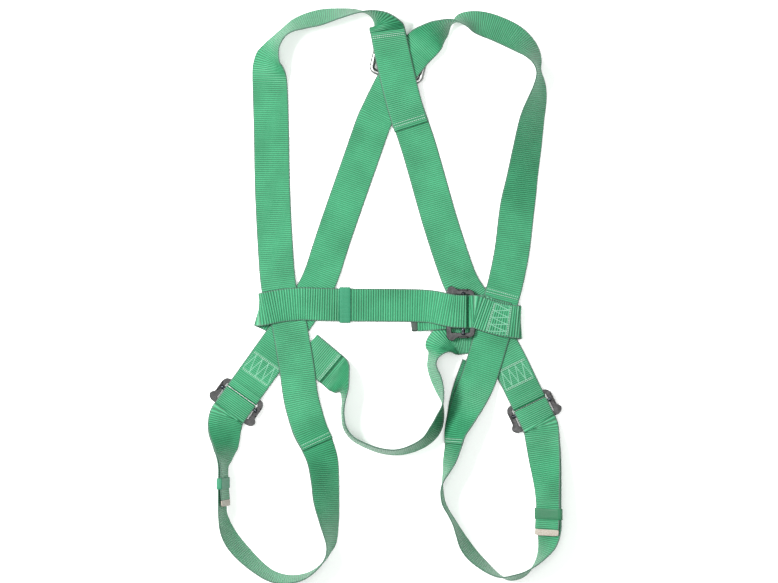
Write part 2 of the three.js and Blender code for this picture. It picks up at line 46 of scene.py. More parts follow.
MM = 0.001
ORIGIN_SHIFT = Vector((2.37, 0.26, 0.06))
WEB_WIDTH = 45
NARROW_WIDTH = 42
WEB_THICKNESS = 1.8
LAYER_PITCH = 2.3
FLOOR_GAP = 0.4
BUCKLE_LENGTH = 36
BUCKLE_WIDTH = 70
BUCKLE_WINDOW = 48.6
CROSS_BAR = 6
FRAME_THICKNESS = 2.5
FRAME_LIFT = 3.3
RAIL_HEIGHT = 6
EAR_FLARE = 4
SLIDE_BAR_THICKNESS = 3.4
SLIDE_BAR_WIDTH = 5
SLIDE_BAR_LENGTH = 55
SLIDE_BAR_PLACE = 3.5
CLEARANCE = 0.3
FOLD_RADIUS = 3.2
KEEPER_LIFT = 2.6
KEEPER_LENGTH = 14
KEEPER_PLAY = 1.8
RING_WIDTH = 71
RING_HEIGHT = 60
RING_ROD = 7
RING_SHOULDER = 24
RING_TILT = 2.6
RING_TURN = -13.3
RING_PLACE = Vector((10.7, 276.8, 2.95))
TIP_LENGTH = 8

# ---- dimensions of the finished surfaces, in millimetres ----------------------------------------

MESH_SPACING = 2.2
PLACES_PER_STATION = 24
STITCH_PITCH = 2.6
BOX_STITCH_PITCH = 2.4
STITCH_HEIGHT = 0.16
THREAD_RADIUS = 0.42
FINE_THREAD_RADIUS = 0.34
SEAM_HALF = 20.5
HIP_BOX_HALF = 19.0
HIP_BOX_START = -64
HIP_BOX_END = -37
CHEST_BOX_HALF = 18.0
KEEPER_WALL = 1.0
KEEPER_EASE = 0.1
CHEST_KEEPER_OPENING = 3.8
THIGH_KEEPER_OPENING = 2 * WEB_THICKNESS + 1.9
RING_CORNER = 7

LEFT_HIP = "thigh_buckle_left"
RIGHT_HIP = "thigh_buckle_right"
CHEST = "chest_buckle"

# Where each buckle lies: middle in plan, heading from its sewn end to its free end, underside,
# and how far the frame lies to the left of the webbing's middle.
BUCKLES = {
    LEFT_HIP: (-189.6, -134.6, -125.5, FRAME_LIFT, 0),
    RIGHT_HIP: (185, -146.5, -64, FRAME_LIFT, 0),
    CHEST: (93.3, -21, 180, 10.6, 2.5),
}


def level(n):
    """Height of the n-th layer of webbing."""
    return FLOOR_GAP + n * LAYER_PITCH


# ---- routes of the webbing ----------------------------------------------------------------------


def on_buckle(name, along, z, side, lean=180):
    """A station on a buckle's centre line, along it from its middle."""
    x, y, heading = BUCKLES[name][:3]
    h = math.radians(heading)
    width_heading = heading + (90 if lean == 0 else -90) * side
    return [x + along * math.cos(h), y + along * math.sin(h), z, width_heading, lean]


def fold_on_buckle(name, along, middle, outward, from_top, side, lean=180):
    """Webbing folded round a bar: a half circle that bulges forward (1) or back (-1) along the buckle."""
    turns = (90, 45, 0, -45, -90) if from_top else (-90, -45, 0, 45, 90)
    stations = []
    for turn in turns:
        t = math.radians(turn)
        reach = along + outward * FOLD_RADIUS * math.cos(t)
        height = middle + FOLD_RADIUS * math.sin(t) - WEB_THICKNESS / 2
        stations.append(on_buckle(name, reach, height, side, lean))
    return stations


def unwound(stations):
    """Headings and leans by the shortest way round from each station to the next."""
    result = [list(stations[0])]
    for station in stations[1:]:
        previous = result[-1]
        x, y, z, heading, lean = station
        heading -= 360 * round((heading - previous[3]) / 360)
        lean -= 360 * round((lean - previous[4]) / 360)
        result.append([x, y, z, heading, lean])
    return result


def sewn_end(name, top_start, under_end, side, lean=180):
    """The sewn end of a strap: over the frame's end bar, round it and back underneath."""
    middle = BUCKLES[name][3] + FRAME_THICKNESS / 2
    over = middle + FOLD_RADIUS - WEB_THICKNESS / 2
    under = middle - FOLD_RADIUS - WEB_THICKNESS / 2
    bar_end = -BUCKLE_LENGTH / 2 + CROSS_BAR
    return [
        on_buckle(name, top_start, under + LAYER_PITCH, side, lean),
        on_buckle(name, -BUCKLE_LENGTH / 2 - 12, under + LAYER_PITCH + 0.5, side, lean),
        on_buckle(name, -BUCKLE_LENGTH / 2 - 1, over, side, lean),
        *fold_on_buckle(name, bar_end - 1.2, middle, 1, True, side, lean),
        on_buckle(name, -BUCKLE_LENGTH / 2 - 2, under, side, lean),
        on_buckle(name, under_end, under, side, lean),
    ]


def adjusted_end(name):
    """Under the free bar, up through the window, over the sliding bar and back."""
    lift = BUCKLES[name][3]
    bar_middle = lift + FRAME_THICKNESS + CLEARANCE + SLIDE_BAR_THICKNESS / 2
    over_bar = bar_middle + FOLD_RADIUS - WEB_THICKNESS / 2
    free = BUCKLE_LENGTH / 2
    return [
        on_buckle(name, free + 3, FLOOR_GAP + 0.9, 1),
        on_buckle(name, free - CROSS_BAR, FLOOR_GAP + 0.2, 1),
        on_buckle(name, free - CROSS_BAR - 7, FLOOR_GAP + 0.9, 1),
        *fold_on_buckle(name, -SLIDE_BAR_PLACE - 1, bar_middle, -1, False, 1),
        on_buckle(name, 5, over_bar, 1),
        on_buckle(name, free - 2, lift + FRAME_THICKNESS + 1.5, 1),
        on_buckle(name, free + 5, FLOOR_GAP + LAYER_PITCH + 3.6, 1),
    ]


def beside(stations, gap):
    """The same stations moved square to the webbing's face, towards the face that is seen."""
    moved = []
    for x, y, z, heading, lean in stations:
        h = math.radians(heading)
        tilt = math.radians(lean)
        up = 1 if math.cos(tilt) < 0 else -1
        moved.append([
            x + up * gap * math.cos(h) * math.sin(tilt),
            y + up * gap * math.sin(h) * math.sin(tilt),
            z + gap * abs(math.cos(tilt)),
            heading,
            lean,
        ])
    return moved


def adjusted_strap(span, name, tail_stations):
    """The whole strap, with the tail that lies on its last few stations."""
    tail = beside(span[-tail_stations:], LAYER_PITCH + 0.2)[::-1]
    end = beside([tail.pop()], 1.6)
    return unwound([*span, *adjusted_end(name), *tail, *end])


# A station is [x, y, z, heading, lean]: the middle of the webbing in plan, the height of its
# lowest edge, the heading of its width in plan, and how far the width leans up from flat.

# Left thigh seam, left front, left shoulder, ring, right back, right hip.
MAIN_LEFT = [
    [-88, -189.3, level(1.1), 14, -22],
    [-97.2, -171.3, level(1.1), 14, -13],
    [-103.7, -152, level(1.1), 12, -5],
    [-108.6, -133.3, level(1.6), 11, 0],
    [-112, -112, level(2), 6, 0],
    [-114.3, -94, level(2), 5, 0],
    [-119.4, -63.5, level(2), 8, 0],
    [-124.5, -36, level(2), 11, 0],
    [-132.1, -10.2, level(2), 14, 0],
    [-137.8, 13, level(1.8), 8, 0],
    [-141.6, 57, level(0.1), 3, 0],
    [-145.4, 133.3, level(0), 2, 0],
    [-146.9, 209.6, level(0), 1, 0],
    [-148.6, 266.7, level(0), 0, 5],
    [-150, 292, level(0), -3, 32],
    [-147.5, 307, level(0), -20, 54],
    [-140, 322, level(0), -36, 70],
    [-128, 334.5, level(0), -52, 74],
    [-110.5, 344, level(0), -68, 65],
    [-85.1, 351.2, level(0), -77, 61],
    [-59.7, 356.2, level(0), -82, 71],
    [-40.6, 358.4, level(0.2), -92, 80],
    [-25.4, 356.8, level(0.8), -105, 91],
    [-12.5, 351.5, level(1.8), -120, 110],
    [-3.2, 343.8, level(3), -140, 134],
    [1, 333.8, 8.8, -158, 167],
    [3.6, 321, 8.7, -165, 180],
    [6, 310.5, 9.3, -166, 180],
    [7.8, 303, 9.1, -166, 180],
    [9.2, 296.5, 4.4, -166, 180],
    [10.7, 290, 0.9, -166, 180],
    [12.2, 283.5, level(0), -166, 180],
    [20.3, 247.7, level(0), -165, 180],
    [41.3, 184.2, level(0), -164, 180],
    [66.7, 95.2, level(0), -163, 180],
    [87, 33, level(0.6), -162, 180],
    [97, 10, 2.6, -156, 180],
    [111, -11, 2.6, -152, 180],
    [126, -34, 2.6, -153, 180],
    *sewn_end(RIGHT_HIP, -75, -56, 1),
]

# Right thigh seam, right front, right shoulder, ring, left back, left hip.
MAIN_RIGHT = [
    [83.8, -188, 6.9, 175, -62],
    [87.6, -171.4, 7, 162, -52],
    [96.5, -151.1, 7.4, 158, -38],
    [105.4, -130.8, 6.4, 157, -20],
    [115.6, -108, 5.6, 158, -5],
    [123.2, -85.1, level(2), 162, 0],
    [129.5, -63.5, level(2), 164, 0],
    [135.9, -42, level(2), 165, 0],
    [141.4, -20, level(2), 166, 0],
    [146, -1, level(2), 166, 0],
    [151, 18, level(1.6), 168, 0],
    [158.8, 57.1, level(0.2), 172, 0],
    [164.8, 108, level(0), 174, 6],
    [170.8, 146.1, level(0), 172, 26],
    [177.2, 184.2, level(0), 171, 35],
    [183.5, 222.2, level(0), 172, 45],
    [189.9, 247.7, level(0), 172, 57],
    [193, 266.7, level(0), 176, 70],
    [191.8, 284.5, level(0), 186, 81],
    [186.5, 301, level(0), 202, 67],
    [175.3, 315, level(0), 225, 52],
    [158.8, 327.7, level(0), 240, 42],
    [137.2, 338, level(0), 247, 41],
    [118.1, 343.9, level(0), 252, 45],
    [99.1, 346.4, level(0.3), 258, 62],
    [82.5, 344.4, level(1), 270, 96],
    [69.5, 337.4, level(2.3), 288, 121],
    [56.5, 328, level(3.8), 300, 143],
    [44.5, 317, 11.8, 308, 171],
    [37.5, 310.3, 12, 312, 180],
    [30, 301.5, 11.8, 317, 180],
    [16.5, 284, 11.2, 324, 180],
    [8, 269, 11.2, 329, 180],
    [1.5, 257, 10.2, 331, 180],
    [-5, 244, 6, 333, 180],
    [-11, 231.5, 3, 335, 180],
    [-18, 216, 2.8, 336, 180],
    [-32, 176, level(0.2), 339, 180],
    [-60.3, 95.2, level(0), 341, 180],
    [-73, 57.1, level(0.3), 341, 180],
    [-81, 31.8, level(0.9), 340, 180],
    [-89.5, 11.4, level(1), 334, 180],
    [-100.5, -8, level(1), 327, 180],
    [-112.5, -26, level(1), 324, 180],
    *sewn_end(LEFT_HIP, -98, -58, -1),
]

# The piece that covers the ring's seat, sewn to the left main strap at both ends.
DORSAL_SLEEVE = [
    [0.8, 334.6, 14.6, 20, 18],
    [3.4, 321, 13.9, 16, 7],
    [7, 304, 14.9, 14, 0],
    [13.6, 275, 14.4, 14, 0],
    [18, 257, 14, 14, 0],
    [22, 242, 11, 16, 0],
    [26.4, 227.5, 5.8, 18, 0],
    [30.8, 213.5, level(1.1), 18, 0],
]

# From its sewn end under the left hip, round the left front strap, across to the chest buckle,
# over the sliding bar and back.
CHEST_STRAP = [
    [-111, -42, level(0), 67, 0],
    [-136, -31, level(0), 67, 0],
    [-154, -22.5, level(0), 69, 0],
    [-160.4, -20, 1.8, 74, 0],
    [-162.6, -19, 4.6, 78, 0],
    [-160.4, -18.5, 7.6, 82, 0],
    [-153, -17, 9.3, 88, 0],
    [-135, -13.5, 7.7, 90, 0],
    [-110, -11.3, level(3), 90, 0],
    [-84, -12, level(2.2), 90, 0],
    [-68, -12.4, 5, 90, 0],
    [-57, -12.6, 3.2, 90, 0],
    [-45, -12.7, 3, 90, 0],
    [-10, -12.9, 3, 90, 0],
    [30, -13.3, 3.2, 90, 0],
    [48, -14, 6.6, 90, 0],
    [60, -15.4, 11.4, 90, 0],
    [72, -18, 15.6, 90, 0],
    [84, -20.2, 17.8, 90, 0],
    *fold_on_buckle(CHEST, -SLIDE_BAR_PLACE - 1, 15.1, -1, True, -1, 0),
    [91, -21.4, 9, 92, 0],
    [81, -22, 8.2, 94, 0],
    [72, -22.8, 8.7, 95, 0],
    [64, -23.5, 9.3, 95, 0],
    [55, -24.3, 7.2, 94, 0],
    [46, -25, 2.4, 93, 0],
    [38, -25.4, 1.5, 92, 0],
]

# From its end under the right front strap, round that strap's edge, back over it to the chest
# buckle, round the buckle's end bar and under itself.
CHEST_LOOP = [
    [133, -44, level(0), 104, 0],
    [148, -39.5, level(0), 103, 0],
    [161, -36.6, level(0), 100, 0],
    [167.4, -35.2, 2.6, 97, 0],
    [169, -34.8, 6.4, 93, 0],
    [167.4, -34.3, 10.2, 89, 0],
    [159, -33.4, 11.4, 86, 0],
    [146, -31.4, 10.2, 83, 0],
    [132, -27.8, 11, 84, 0],
    [121, -24, 12.6, 86, 0],
    *sewn_end(CHEST, -30, -28, -1, 0)[2:],
    [133, -25.5, level(3.1), 85, 0],
    [152, -30.5, level(3.1), 83, 0],
]

# From the left anchor, round under the seat, to its end under the right front strap.
SEAT_STRAP = [
    [-103, -67, level(0), 50, 0],
    [-82.5, -84.2, level(0), 50, 0],
    [-69, -95.5, level(0), 50, 0],
    [-64.5, -99.6, level(0), 48, 9],
    [-59.2, -105.6, level(0), 40, 38],
    [-54.4, -118.1, level(0), 14, 72],
    [-54.8, -133, level(0), 6, 84],
    [-56, -148.6, level(0), 10, 86],
    [-53.3, -167.6, level(0), 36, 84],
    [-43.2, -181.5, level(0), 64, 83],
    [-26.7, -190.5, level(0), 71, 82],
    [-8.9, -196.8, level(0), 78, 81],
    [10.2, -199, level(0), 94, 80],
    [29.2, -195.2, level(0), 110, 77],
    [48.3, -185.4, level(0), 128, 74],
    [61, -170.2, level(0), 147, 70],
    [67.4, -152.4, level(0), 168, 78],
    [70.2, -137.2, level(0), 184, 90],
    [67, -120.7, level(0), 198, 102],
    [62, -105.4, level(0), 200, 107],
    [57, -91, level(0), 186, 104],
    [57.6, -81, level(0), 170, 104],
    [62.2, -72, level(0), 152, 114],
    [69.9, -64, level(0), 118, 143],
    [79.5, -56.5, level(0), 102, 166],
    [91, -53.4, level(0), 93, 176],
    [102, -52.2, level(0), 90, 180],
    [114, -52.2, level(0), 90, 180],
]

SEAT_ANCHOR = [
    [-103, -67, level(1.15), 50, 0],
    [-70.5, -94.2, level(1.15), 50, 0],
]

# From the seam with the left front strap, round the thigh, to the left buckle and back.
THIGH_LEFT_SPAN = [
    [-104, -152, level(0.1), 12, -5],
    [-97.8, -171.4, level(0.1), 14, -13],
    [-89, -189.5, level(0.1), 14, -22],
    [-81.9, -209.6, level(0), 10, -30],
    [-78.7, -235, level(0), 5, -38],
    [-77, -260.4, level(0), 3, -44],
    [-73.7, -285.8, level(0), 4, -57],
    [-71.1, -311.1, level(0), -8, -72],
    [-74.3, -326.4, level(0), -24, -84],
    [-80.5, -337.8, level(0), -42, -88],
    [-91.4, -348.6, level(0), -57, -91],
    [-104.1, -356, level(0), -70, -95],
    [-119.4, -359.6, level(0), -88, -99],
    [-135.9, -358.8, level(0), -104, -103],
    [-151.1, -353.1, level(0), -118, -106],
    [-167.6, -341, level(0), -133, -110],
    [-182.9, -326.4, level(0), -137, -114],
    [-195.6, -311.1, level(0), -145, -114],
    [-204, -295, level(0), -158, -109],
    [-207.8, -279.4, level(0.6), -177, -102],
    [-208.4, -259, KEEPER_LIFT, -180, -101],
    [-208.4, -238, KEEPER_LIFT, -180, -101],
    [-208.4, -217, KEEPER_LIFT, -180, -101],
    [-207.8, -202, level(0.5), -184, -117],
    [-206.8, -189, level(0.9), -190, -137],
    [-206.9, -177, level(1.3), -199, -157],
    [-206, -165, level(1.5), -210, -173],
]

# From the seam with the right front strap, round the thigh, to the right buckle and back.
THIGH_RIGHT_SPAN = [
    [117, -89.5, level(0), -32, 0],
    [110.6, -106.2, level(0), -23, 0],
    [102.5, -129.5, level(0), -23, 18],
    [95, -150.5, level(0), -22, 38],
    [87.6, -171.3, level(0), -18, 52],
    [84.7, -188.1, level(0), -5, 62],
    [79.4, -209.6, level(0), -14, 70],
    [75.6, -222.2, level(0), -18, 80],
    [70.9, -235, level(0), -12, 89],
    [69.4, -247.7, level(0), 4, 94],
    [71.6, -262.9, level(0), 20, 95],
    [78.2, -276, level(0), 28, 94],
    [85.1, -288, level(0), 28, 96],
    [91, -301, level(0), 26, 101],
    [98.5, -316.2, level(0), 34, 108],
    [109.2, -330.2, level(0), 44, 108],
    [125.7, -344.9, level(0), 52, 102],
    [141.2, -355, level(0), 68, 92],
    [156.2, -358, level(0), 92, 80],
    [172.7, -353.6, level(0), 118, 80],
    [186.7, -342, level(0), 138, 90],
    [195.6, -330.2, level(0), 150, 102],
    [203, -315, level(0.5), 166, 119],
    [205.4, -296.5, KEEPER_LIFT + 0.6, 180, 130],
    [205.4, -276, KEEPER_LIFT + 0.6, 180, 130],
    [205.4, -260, KEEPER_LIFT + 0.6, 180, 130],
    [204.6, -243, level(0.8), 184, 134],
    [202.6, -222.2, level(0.6), 186, 143],
    [200.4, -205, level(0.7), 190, 153],
    [198.6, -191, level(1), 196, 161],
    [197, -179, level(0.9), 201, 172],
]

THIGH_LEFT = adjusted_strap(THIGH_LEFT_SPAN, LEFT_HIP, 7)
THIGH_RIGHT = adjusted_strap(THIGH_RIGHT_SPAN, RIGHT_HIP, 8)


class Route:
    """The course of one strap: a smooth curve with the direction of its width at each place."""

    def __init__(self, stations, width):
        self.stations = unwound(stations)
        self.width = width

    @property
    def last(self):
        return len(self.stations) - 1

    def blended(self, index, place):
        place = min(max(place, 0), self.last - 1e-7)
        i = int(place)
        u = place - i
        b = self.stations[i][index]
        c = self.stations[i + 1][index]
        a = self.stations[i - 1][index] if i > 0 else 2 * b - c
        d = self.stations[i + 2][index] if i + 1 < self.last else 2 * c - b
        return 0.5 * (2 * b + (c - a) * u + (2 * a - 5 * b + 4 * c - d) * u * u
                      + (3 * b - a - 3 * c + d) * u ** 3)

    def across(self, place):
        heading = math.radians(self.blended(3, place))
        lean = math.radians(self.blended(4, place))
        return Vector((math.cos(heading) * math.cos(lean), math.sin(heading) * math.cos(lean),
                       math.sin(lean)))

    def middle(self, place):
        rise = abs(self.across(place).z)
        flat = math.sqrt(max(0, 1 - rise * rise))
        z = self.blended(2, place) + rise * self.width / 2 + flat * WEB_THICKNESS / 2
        return Vector((self.blended(0, place), self.blended(1, place), z)) + ORIGIN_SHIFT

    def frame(self, place):
        """Middle, direction across the width and direction through the thickness."""
        step = 1e-4 * self.last
        before = self.middle(max(place - step, 0))
        after = self.middle(min(place + step, self.last))
        tangent = (after - before).normalized()
        across = self.across(place)
        across = (across - tangent * across.dot(tangent)).normalized()
        return self.middle(place), across, tangent.cross(across)

    def seen(self, place, offset, height=0.0):
        """A point on the upper face, offset across the width and height above the cloth."""
        middle, across, through = self.frame(place)
        up = 1 if through.z > 0 else -1
        return middle + across * offset + through * up * (WEB_THICKNESS / 2 + height)

    def places(self, spacing):
        """Places along the route at an even spacing, each with its distance from the start."""
        fine = [i / PLACES_PER_STATION for i in range(self.last * PLACES_PER_STATION + 1)]
        distance = 0
        samples = [(0.0, 0.0)]
        since = 0
        before = self.middle(0)
        for place in fine[1:]:
            here = self.middle(place)
            length = (here - before).length
            distance += length
            since += length
            before = here
            if since >= spacing or place == fine[-1]:
                samples.append((place, distance))
                since = 0
        return samples


# ---- making meshes ------------------------------------------------------------------------------


def new_object(name, mesh, material, body="harness"):
    """A new smooth-shaded piece of the object, riding on a body."""
    piece = bpy.data.objects.new(name, mesh)
    bpy.context.scene.collection.objects.link(piece)
    mesh.materials.append(material)
    mesh.polygons.foreach_set("use_smooth", [True] * len(mesh.polygons))
    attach(piece, body)
    return piece


def mesh_of(name, points, faces):
    """A mesh in metres from points in millimetres."""
    mesh = bpy.data.meshes.new(name)
    mesh.from_pydata([Vector(p) * MM for p in points], [], faces)
    mesh.update()
    return mesh


def facing_out(mesh):
    """Turns every face of a closed mesh outwards."""
    work = bmesh.new()
    work.from_mesh(mesh)
    bmesh.ops.recalc_face_normals(work, faces=work.faces)
    work.to_mesh(mesh)
    work.free()


def capped_faces(rings, sides, first=0):
    """The faces of a closed skin over rings of points: both end caps and the quads between rings."""
    faces = [[first + k for k in range(sides)][::-1]]
    for ring in range(rings - 1):
        base = first + ring * sides
        for k in range(sides):
            j = (k + 1) % sides
            faces.append([base + k, base + j, base + sides + j, base + sides + k])
    faces.append([first + (rings - 1) * sides + k for k in range(sides)])
    return faces


def webbing_section(width):
    """The outline of a strap's section: a flat band with round selvedges."""
    half = width / 2
    edge = WEB_THICKNESS / 2
    spots = [-half + edge, -half + 3, -half * 0.55, 0, half * 0.55, half - 3, half - edge]
    top = [(x, edge) for x in spots]
    right = [(half - edge + edge * math.sin(math.radians(a)), edge * math.cos(math.radians(a)))
             for a in (45, 90, 135)]
    bottom = [(x, -y) for x, y in reversed(top)]
    left = [(-x, -y) for x, y in right]
    return top + right + bottom + left


def webbing_mesh(name, route):
    """One strap, with a UV map that holds the distance along it and across it in metres."""
    section = webbing_section(route.width)
    count = len(section)
    samples = route.places(MESH_SPACING)
    points = []
    for place, _ in samples:
        middle, across, through = route.frame(place)
        points += [middle + across * u + through * v for u, v in section]
    mesh = mesh_of(name, points, capped_faces(len(samples), count))
    layer = mesh.uv_layers.new(name="cloth")
    for loop in mesh.loops:
        ring, spot = divmod(loop.vertex_index, count)
        layer.data[loop.index].uv = (samples[ring][1] * MM, section[spot][0] * MM)
    facing_out(mesh)
    return mesh, samples[-1][1]


def add_webbing(node, route, material):
    """The finished strap that stands for a CAD node."""
    name = f"{node}_webbing"
    mesh, length = webbing_mesh(name, route)
    piece = new_object(name, mesh, material)
    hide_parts(node)


# ---- stitching ----------------------------------------------------------------------------------


def stitch_line(route, start, end, pitch):
    """Pairs of points, one pair for each stitch, between two (place, offset) spots."""
    a = route.seen(*start)
    b = route.seen(*end)
    count = max(1, round((b - a).length / pitch))
    pairs = []
    for i in range(count):
        low = (i + 0.12) / count
        high = (i + 0.88) / count
        ends = []
        for share in (low, high):
            place = start[0] + (end[0] - start[0]) * share
            offset = start[1] + (end[1] - start[1]) * share
            ends.append(route.seen(place, offset, STITCH_HEIGHT))
        pairs.append(ends)
    return pairs


def thread_mesh(name, pairs, radius):
    """A small rounded bead of thread for each stitch."""
    sides = 6
    stages = ((0.0, 0.35), (0.18, 0.9), (0.5, 1.0), (0.82, 0.9), (1.0, 0.35))
    points = []
    faces = []
    for a, b in pairs:
        along = (b - a).normalized()
        side = along.orthogonal().normalized()
        up = along.cross(side)
        start = len(points)
        for share, swell in stages:
            centre = a.lerp(b, share)
            for k in range(sides):
                angle = 2 * math.pi * k / sides
                ray = side * math.cos(angle) + up * math.sin(angle)
                points.append(centre + ray * radius * swell)
        faces += capped_faces(len(stages), sides, start)
    mesh = mesh_of(name, points, faces)
    facing_out(mesh)
    return mesh


def add_stitching(name, lines, material, node, radius):
    """Thread of one seam, standing for the CAD's seam plate."""
    pairs = [pair for line in lines for pair in line]
    piece = new_object(name, thread_mesh(name, pairs, radius), material)
    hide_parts(node)


def rows_across(route, places, half, pitch):
    """Straight rows of stitches across a strap."""
    return [stitch_line(route, (place, -half), (place, half), pitch) for place in places]


def box_rows(route, start, end, half):
    """The double rows that close a stitched box at both ends."""
    step = (end - start) / 16
    return rows_across(route, (start, start + step, end - step, end), half,
                       BOX_STITCH_PITCH)


def box_filling(route, start, end, half):
    """The side rows of a stitched box, and a zigzag that is gone over three times."""
    step = (end - start) / 14
    lines = []
    for side in (-half, half):
        lines.append(stitch_line(route, (start, side), (end, side), BOX_STITCH_PITCH))
    strokes = 8
    for shift in (0, 0.9, -0.9):
        for i in range(strokes):
            a = -half + 2 * half * i / strokes
            b = -half + 2 * half * (i + 1) / strokes
            first = start + step * (1.5 + shift)
            second = end - step * (1.5 - shift)
            ends = (first, second) if i % 2 else (second, first)
            lines.append(stitch_line(route, (ends[0], a), (ends[1], b), BOX_STITCH_PITCH))
    return lines


# ---- materials ----------------------------------------------------------------------------------


class Nodes:
    """Short ways to add and join shader nodes."""

    def __init__(self, name):
        self.material = bpy.data.materials.new(name)
        self.material.use_nodes = True
        self.tree = self.material.node_tree
        self.shader = self.tree.nodes["Principled BSDF"]

    def link(self, a, b):
        self.tree.links.new(a, b)

    def node(self, kind, **settings):
        made = self.tree.nodes.new(kind)
        for key, value in settings.items():
            setattr(made, key, value)
        return made

    def math(self, operation, a, b=None, clamp=False):
        made = self.node("ShaderNodeMath", operation=operation, use_clamp=clamp)
        for socket, value in zip(made.inputs, (a, b)):
            if value is None:
                continue
            if isinstance(value, (int, float)):
                socket.default_value = value
            else:
                self.link(value, socket)
        return made.outputs[0]

    def cloth_axes(self):
        """Distance along and across the webbing, in metres."""
        split = self.node("ShaderNodeSeparateXYZ")
        self.link(self.node("ShaderNodeUVMap", uv_map="cloth").outputs[0], split.inputs[0])
        return split.outputs[0], split.outputs[1]

    def wave(self, value, pitch, shift=0.0):
        """A sine from 0 to 1 with the given pitch in metres."""
        turned = self.math("MULTIPLY_ADD", value, 2 * math.pi / pitch)
        turned.node.inputs[2].default_value = shift
        return self.math("MULTIPLY_ADD", self.math("SINE", turned), 0.5, True)

    def mix(self, share, a, b):
        made = self.node("ShaderNodeMix", data_type="RGBA")
        self.link(share, made.inputs[0])
        for socket, value in ((made.inputs[6], a), (made.inputs[7], b)):
            if isinstance(value, tuple):
                socket.default_value = (*value, 1)
            else:
                self.link(value, socket)
        return made.outputs[2]

    def noise(self, scale, detail=3):
        coords = self.node("ShaderNodeTexCoord")
        made = self.node("ShaderNodeTexNoise")
        made.inputs["Scale"].default_value = scale
        made.inputs["Detail"].default_value = detail
        self.link(coords.outputs["Object"], made.inputs["Vector"])
        return made.outputs[0]

    def ramp(self, value, low, high):
        """value from low to high, as 0 to 1."""
        made = self.node("ShaderNodeMapRange")
        made.inputs[1].default_value = low
        made.inputs[2].default_value = high
        self.link(value, made.inputs[0])
        return made.outputs[0]

    def bump(self, height, distance, strength=1.0, before=None):
        made = self.node("ShaderNodeBump")
        made.inputs["Strength"].default_value = strength
        made.inputs["Distance"].default_value = distance
        self.link(height, made.inputs["Height"])
        if before is not None:
            self.link(before, made.inputs["Normal"])
        return made.outputs[0]

    def set(self, **values):
        for key, value in values.items():
            self.shader.inputs[key.replace("_", " ")].default_value = value


# How many times brighter than its base colour the studio light makes a surface look.
LIGHT_LEVEL = 2.1


def linear(red, green, blue):
    """The linear base colour that looks near this sRGB colour, 0 to 255, in the studio light."""
    def one(v):
        v /= 255
        value = v / 12.92 if v <= 0.04045 else ((v + 0.055) / 1.055) ** 2.4
        return value / LIGHT_LEVEL
    return one(red), one(green), one(blue)


# GREEN is the webbing's lit colour; SHADE_GREEN is the painted shade colour that the grooves and folds are
# darkened towards.
GREEN = linear(86, 210, 150)
SHADE_GREEN = linear(0, 96, 54)
EDGE_GREEN = linear(98, 134, 116)


def webbing_material(name, width, pitch, depth, light=GREEN, shade_colour=SHADE_GREEN):
    """Ribbed woven polyester: ribs across the width, each made of small over-and-under yarns. The colour
    carries painted shade: darker in the rib grooves, and soft noise that paints fold shade along with random
    tone.
    """
    n = Nodes(name)
    along, across = n.cloth_axes()
    rib = n.wave(along, pitch)
    yarn = n.wave(across, 0.0016)
    cross = n.wave(along, pitch * 2)
    weave = n.math("MULTIPLY", yarn, cross)
    height = n.math("MULTIPLY_ADD", weave, 0.3)
    n.link(rib, height.node.inputs[2])
    # Painted shade: the colour darkens in the rib grooves, where the relief would be shaded.
    groove_shade = n.math("POWER", rib, 0.7)
    # Painted shade and tone: large soft noise lays darker fold shading and random tone over the face.
    wide = n.ramp(n.noise(22, 4), 0.3, 0.72)
    shade = n.math("MULTIPLY_ADD", wide, 0.3)
    n.link(n.math("MULTIPLY", groove_shade, 0.7), shade.node.inputs[2])
    colour = n.mix(shade, shade_colour, light)
    selvedge = n.ramp(n.math("ABSOLUTE", across), width * MM / 2 - 0.0018, width * MM / 2 - 0.0007)
    colour = n.mix(n.math("MULTIPLY", selvedge, 0.9), colour, EDGE_GREEN)
    n.link(colour, n.shader.inputs["Base Color"])
    fuzz = n.bump(n.noise(2600, 2), 0.0002, 0.25)
    n.link(n.bump(height, depth, 0.85, fuzz), n.shader.inputs["Normal"])
    n.set(Roughness=0.5, Specular_IOR_Level=0.42)
    return n.material


def thread_material(name, light, dark):
    n = Nodes(name)
    colour = n.mix(n.ramp(n.noise(900, 2), 0.35, 0.65), dark, light)
    n.link(colour, n.shader.inputs["Base Color"])
    n.link(n.bump(n.noise(3200, 2), 0.0001, 0.5), n.shader.inputs["Normal"])
    n.set(Roughness=0.55, Sheen_Weight=0.2)
    return n.material


def black_steel_material():
    """Black coated steel, worn paler where it rubs."""
    n = Nodes("black steel")
    wear = n.ramp(n.noise(420, 6), 0.6, 0.74)
    colour = n.mix(n.math("MULTIPLY", wear, 0.25), linear(9, 9, 10), linear(70, 70, 74))
    n.link(colour, n.shader.inputs["Base Color"])
    n.link(n.ramp(n.noise(160, 4), -0.1, 1.5), n.shader.inputs["Roughness"])
    n.link(n.bump(n.noise(1500, 3), 0.0001, 0.35), n.shader.inputs["Normal"])
    n.set(Specular_IOR_Level=0.4)
    return n.material


def bar_steel_material():
    """The sliding bar: dark steel with brighter worn crests."""
    n = Nodes("sliding bar steel")
    wear = n.ramp(n.noise(300, 5), 0.45, 0.7)
    colour = n.mix(wear, linear(30, 34, 40), linear(120, 128, 138))
    n.link(colour, n.shader.inputs["Base Color"])
    n.link(n.bump(n.noise(1400, 3), 0.0001, 0.3), n.shader.inputs["Normal"])
    n.set(Metallic=0.75, Roughness=0.3)
    return n.material


def zinc_material():
    """Bright zinc plate with faint spangle and fine scratches."""
    n = Nodes("zinc plated steel")
    spangle = n.ramp(n.noise(240, 5), 0.3, 0.7)
    colour = n.mix(spangle, linear(176, 178, 178), linear(232, 232, 228))
    n.link(colour, n.shader.inputs["Base Color"])
    n.link(n.ramp(n.noise(500, 5), -0.4, 2.2), n.shader.inputs["Roughness"])
    n.link(n.bump(n.noise(900, 4), 0.00012, 0.3), n.shader.inputs["Normal"])
    n.set(Metallic=1.0)
    return n.material


